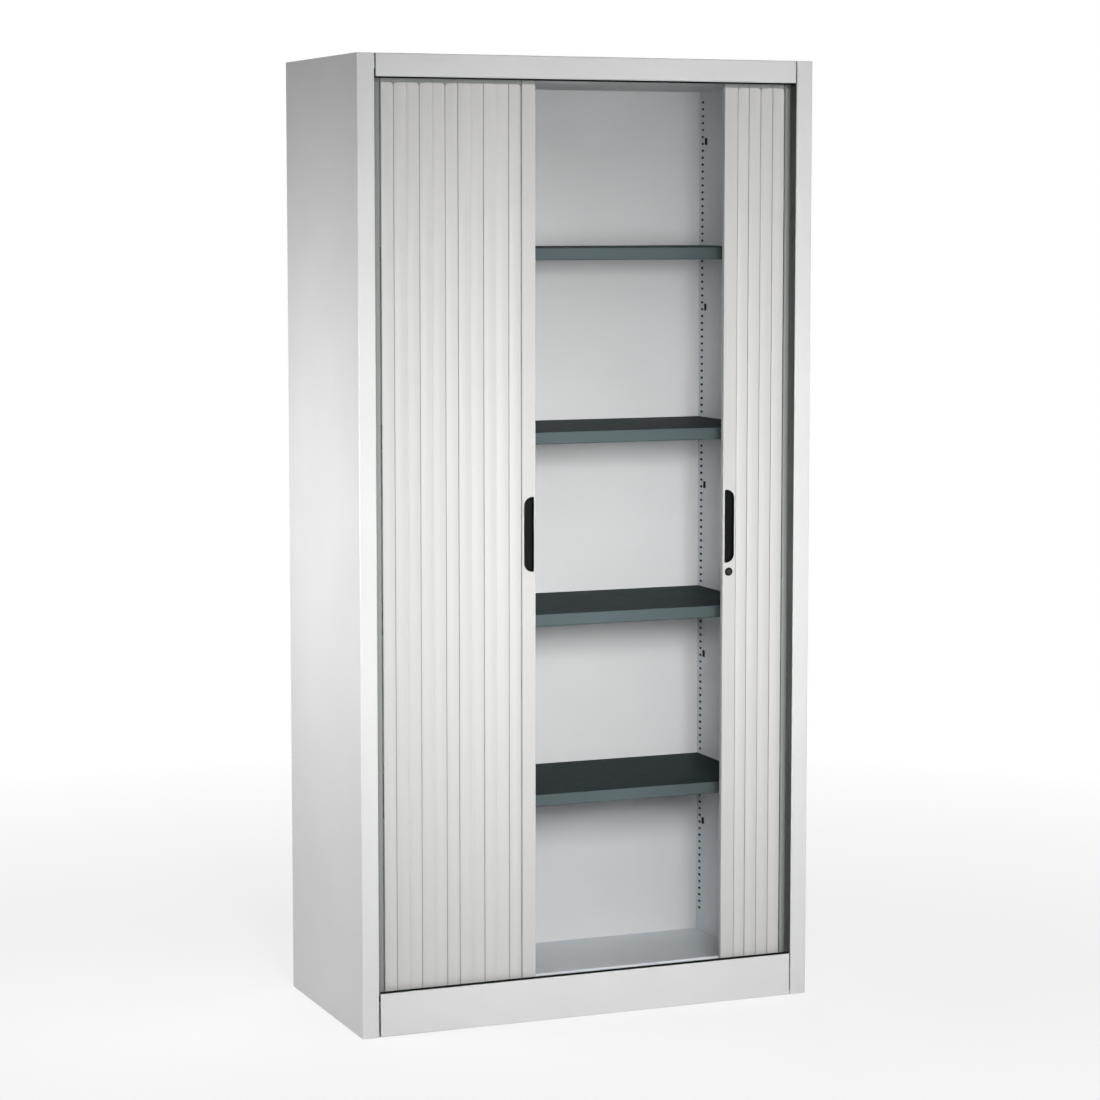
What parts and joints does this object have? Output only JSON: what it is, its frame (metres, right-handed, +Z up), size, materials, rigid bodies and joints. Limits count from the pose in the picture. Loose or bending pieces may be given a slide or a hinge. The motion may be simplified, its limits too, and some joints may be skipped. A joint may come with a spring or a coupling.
{
  "type": "tambour filing cabinet",
  "caption": "Tall steel filing cabinet with a pair of vertical tambour curtains that slide round into side pockets, a cam lock, folded shelves on pegged clips and levelling feet.",
  "frame": {"origin": "on the ground, in the middle of the cabinet's footprint", "axes": "+Z up, +X to the right as one faces the cabinet, -Y towards the front"},
  "size_m": [1, 0.47, 1.98],
  "materials": {
    "carcass_paint": "fine matt",
    "lining_paint": "fine matt",
    "shelf_paint": "fine matt",
    "profile_paint": "painted matt",
    "slat_plastic": "matt",
    "black_plastic": "fine grain",
    "stop_rubber": "matt",
    "zinc_steel": "zinc plated",
    "lock_metal": "dark nickel plated"
  },
  "bodies": {
    "carcass": {"left_side_panel": "carcass_paint", "right_side_panel": "carcass_paint", "top_cover": "carcass_paint", "plinth": "carcass_paint", "ceiling_panel": "lining_paint", "back_panel": "lining_paint", "left_inner_wall": "lining_paint", "right_inner_wall": "lining_paint", "floor_panel": "lining_paint", "front_base_rail": "zinc_steel", "rear_base_rail": "zinc_steel", "front_top_rail": "zinc_steel", "rear_top_rail": "zinc_steel", "left_pocket_tray": "zinc_steel", "right_pocket_tray": "zinc_steel", "plinth_edging": "black_plastic", "top_front_track": "black_plastic", "bottom_front_track": "black_plastic", "corner_guides": "black_plastic", "side_tracks": "black_plastic", "track_end_stops": "stop_rubber", "shelf_1": "shelf_paint", "shelf_2": "shelf_paint", "shelf_3": "shelf_paint", "shelf_4": "shelf_paint", "shelf_clips": "zinc_steel", "left_front_slats": "slat_plastic", "right_front_slats": "slat_plastic", "left_corner_slats": "slat_plastic", "right_corner_slats": "slat_plastic", "left_pocket_slats": "slat_plastic", "right_pocket_slats": "slat_plastic", "foot_nuts": "zinc_steel", "back_panel_screws": "zinc_steel", "plinth_screws": "zinc_steel"},
    "left_curtain": {"left_leading_profile": "profile_paint", "left_handle_shell": "black_plastic", "left_glides": "slat_plastic", "strike_pin": "lock_metal"},
    "right_curtain": {"right_leading_profile": "profile_paint", "right_handle_shell": "black_plastic", "right_glides": "slat_plastic", "lock_housing": "lock_metal", "lock_nut": "zinc_steel"},
    "lock": {"lock_plug": "lock_metal", "lock_cam": "zinc_steel", "cam_screw": "zinc_steel"},
    "front_left_foot": {"front_left_foot": "zinc_steel"},
    "front_right_foot": {"front_right_foot": "zinc_steel"},
    "rear_left_foot": {"rear_left_foot": "zinc_steel"},
    "rear_right_foot": {"rear_right_foot": "zinc_steel"}
  },
  "joints": [
    {"name": "left_curtain_slide", "type": "slide", "parent": "carcass", "child": "left_curtain", "axis": [1, 0, 0], "range_m": [-0.294, 0.1187], "deforming": ["left_front_slats", "left_corner_slats", "left_pocket_slats"]},
    {"name": "right_curtain_slide", "type": "slide", "parent": "carcass", "child": "right_curtain", "axis": [-1, 0, 0], "range_m": [-0.11, 0.3027], "deforming": ["right_front_slats", "right_corner_slats", "right_pocket_slats"]},
    {"name": "lock_turn", "type": "hinge", "parent": "right_curtain", "child": "lock", "pos_m": [0.3167, -0.22, 0.917], "axis": [0, -1, 0], "range_deg": [0, 90]},
    {"name": "front_left_foot_screw", "type": "slide", "parent": "carcass", "child": "front_left_foot", "axis": [0, 0, -1], "range_m": [0, 0.012]},
    {"name": "front_right_foot_screw", "type": "slide", "parent": "carcass", "child": "front_right_foot", "axis": [0, 0, -1], "range_m": [0, 0.012]},
    {"name": "rear_left_foot_screw", "type": "slide", "parent": "carcass", "child": "rear_left_foot", "axis": [0, 0, -1], "range_m": [0, 0.012]},
    {"name": "rear_right_foot_screw", "type": "slide", "parent": "carcass", "child": "rear_right_foot", "axis": [0, 0, -1], "range_m": [0, 0.012]}
  ]
}
